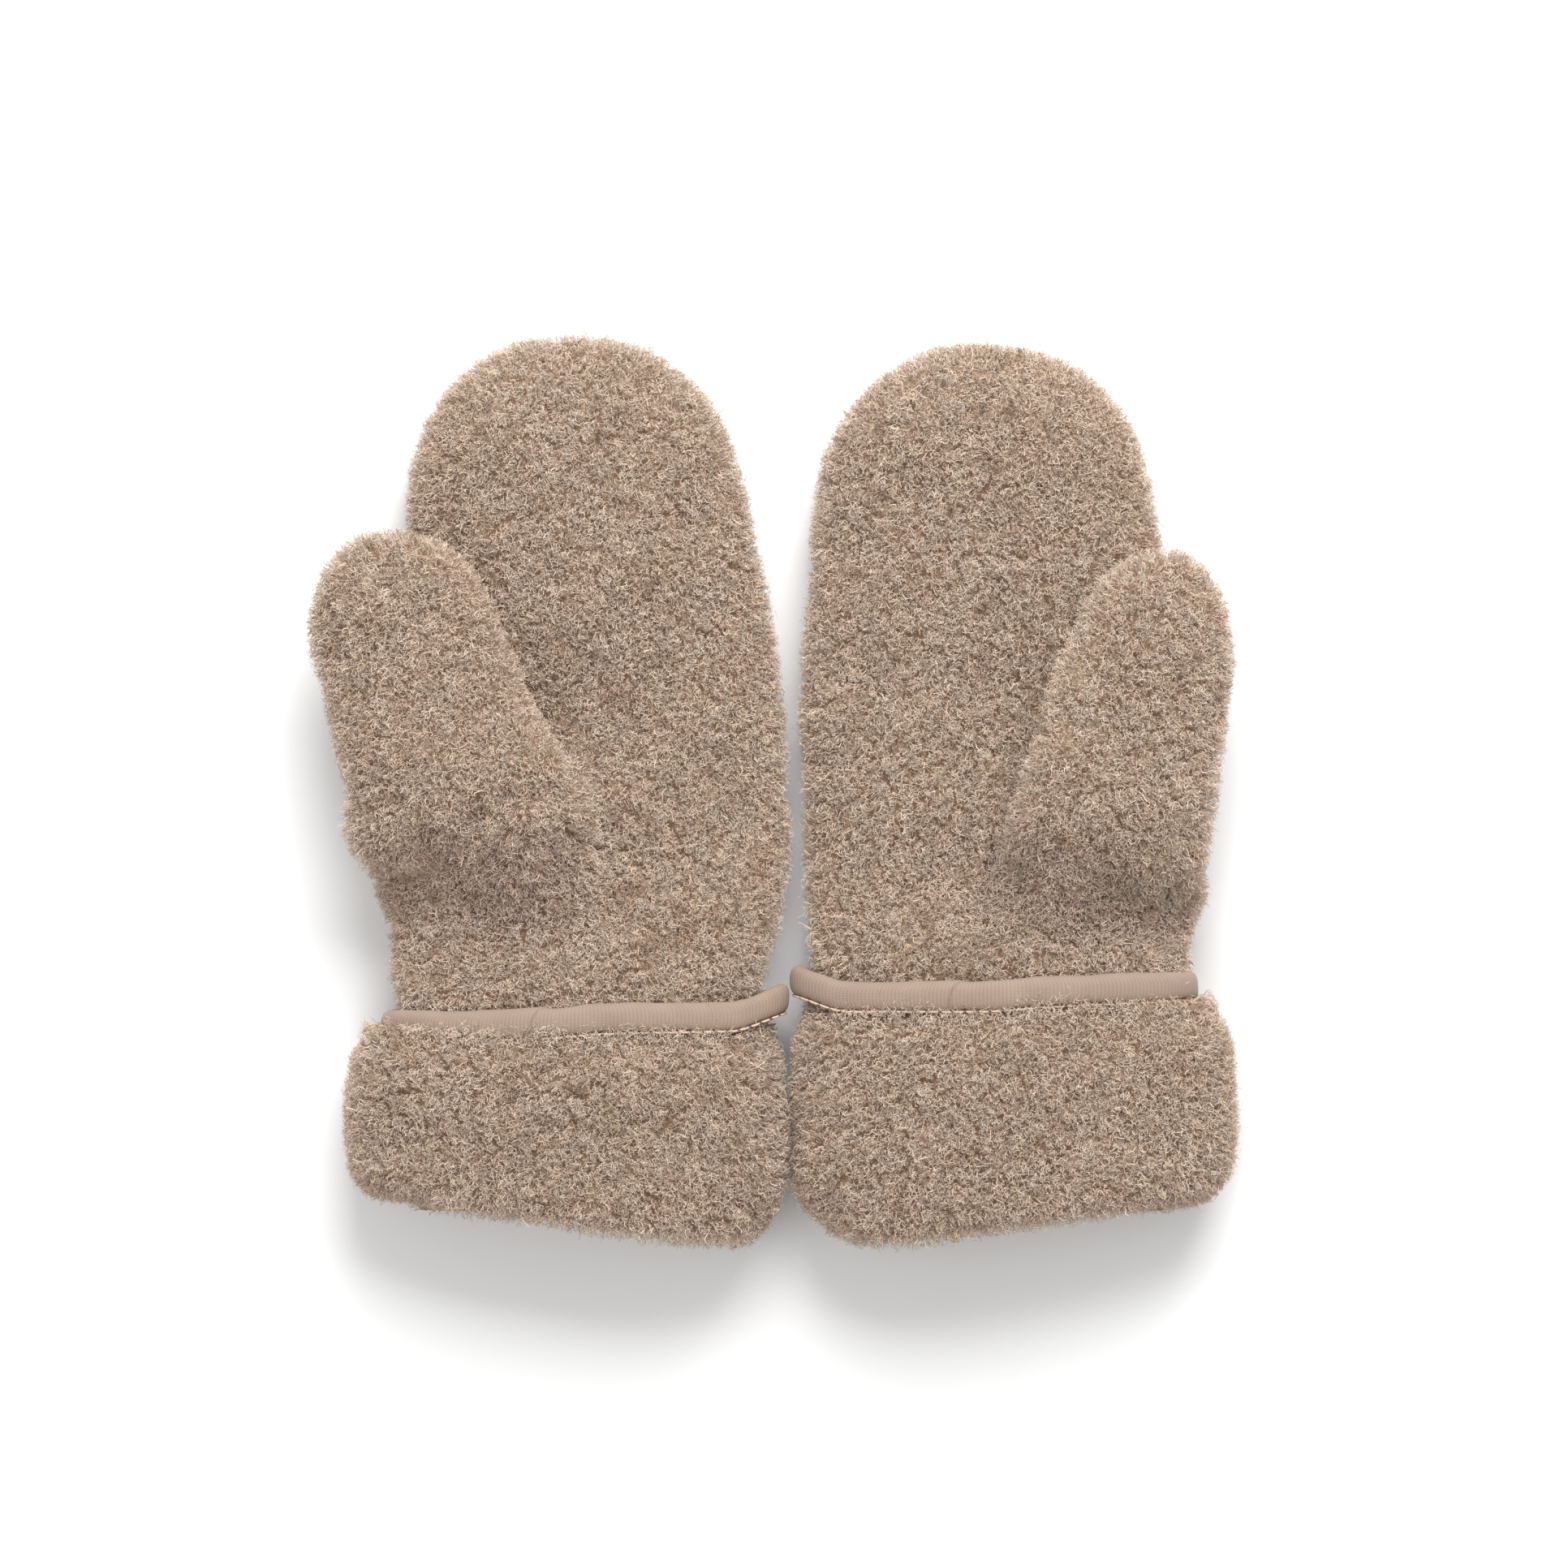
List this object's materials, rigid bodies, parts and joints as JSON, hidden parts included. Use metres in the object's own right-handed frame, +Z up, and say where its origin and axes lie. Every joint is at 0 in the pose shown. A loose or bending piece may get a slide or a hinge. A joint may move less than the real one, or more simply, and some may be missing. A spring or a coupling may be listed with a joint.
{
  "type": "pair of wool pile mittens",
  "caption": "Left and right wool pile mittens lying palm up, each with a separate thumb, a turned-back pile cuff and a ribbed jersey binding topstitched along the cuff's edge.",
  "frame": {"origin": "under the middle of the pair, on the surface that it lies on", "axes": "+Y from the cuffs to the fingertips, +X from the left mitten to the right, +Z up, out of the palms"},
  "size_m": [0.2746, 0.2674, 0.0517],
  "materials": {
    "wool_pile": "curly wool pile, mottled beige, matt",
    "seam": "raw fabric edges sewn flat",
    "jersey_tape": "fine ribbed jersey, smooth",
    "thread": "spun sewing thread"
  },
  "bodies": {
    "left_hand": {"left_back_panel": "wool_pile", "left_palm_panel": "wool_pile", "left_finger_panel": "wool_pile", "left_hand_seam": "seam"},
    "left_fingertip": {"left_fingertip_back": "wool_pile", "left_fingertip_palm": "wool_pile", "left_fingertip_seam": "seam"},
    "left_thumb": {"left_thumb_front": "wool_pile", "left_thumb_back": "wool_pile", "left_thumb_seam": "seam"},
    "left_cuff": {"left_cuff_back": "wool_pile", "left_cuff_palm": "wool_pile", "left_cuff_seam": "seam"},
    "left_binding": {"left_binding": "jersey_tape", "left_topstitch": "thread"},
    "right_hand": {"right_back_panel": "wool_pile", "right_palm_panel": "wool_pile", "right_finger_panel": "wool_pile", "right_hand_seam": "seam"},
    "right_fingertip": {"right_fingertip_back": "wool_pile", "right_fingertip_palm": "wool_pile", "right_fingertip_seam": "seam"},
    "right_thumb": {"right_thumb_front": "wool_pile", "right_thumb_back": "wool_pile", "right_thumb_seam": "seam"},
    "right_cuff": {"right_cuff_back": "wool_pile", "right_cuff_palm": "wool_pile", "right_cuff_seam": "seam"},
    "right_binding": {"right_binding": "jersey_tape", "right_topstitch": "thread"}
  },
  "joints": [
    {"name": "left_fingertip_fold", "type": "hinge", "parent": "left_hand", "child": "left_fingertip", "pos_m": [-0.0572, 0.08412, 0.0288], "axis": [1, 0, 0], "range_deg": [0, 65], "stiffness_Nm_per_rad": 0.01},
    {"name": "left_thumb_lift", "type": "hinge", "parent": "left_hand", "child": "left_thumb", "pos_m": [-0.0932, -0.00288, 0.0522], "axis": [0.9483, 0.3173, 0], "range_deg": [0, 60], "stiffness_Nm_per_rad": 0.01},
    {"name": "left_cuff_unfold", "type": "slide", "parent": "left_hand", "child": "left_cuff", "axis": [0, -1, 0], "range_m": [0, 0.055], "deforming": ["left_cuff_back", "left_cuff_palm", "left_cuff_seam"]},
    {"name": "left_binding_travel", "type": "slide", "parent": "left_cuff", "child": "left_binding", "axis": [0, -1, 0], "range_m": [0, 0.055]},
    {"name": "right_fingertip_fold", "type": "hinge", "parent": "right_hand", "child": "right_fingertip", "pos_m": [0.0613, 0.08412, 0.0288], "axis": [1, 0, 0], "range_deg": [0, 65], "stiffness_Nm_per_rad": 0.01},
    {"name": "right_thumb_lift", "type": "hinge", "parent": "right_hand", "child": "right_thumb", "pos_m": [0.0993, -0.00588, 0.0522], "axis": [0.9744, -0.225, 0], "range_deg": [0, 60], "stiffness_Nm_per_rad": 0.01},
    {"name": "right_cuff_unfold", "type": "slide", "parent": "right_hand", "child": "right_cuff", "axis": [0, -1, 0], "range_m": [0, 0.055], "deforming": ["right_cuff_back", "right_cuff_palm", "right_cuff_seam"]},
    {"name": "right_binding_travel", "type": "slide", "parent": "right_cuff", "child": "right_binding", "axis": [0, -1, 0], "range_m": [0, 0.055]},
    {"name": "mittens_apart", "type": "slide", "parent": "left_hand", "child": "right_hand", "axis": [1, 0, 0], "range_m": [0, 0.1]}
  ],
  "couplings": [
    {"joint": "left_binding_travel", "follows": "left_cuff_unfold", "ratio": 1},
    {"joint": "right_binding_travel", "follows": "right_cuff_unfold", "ratio": 1}
  ]
}
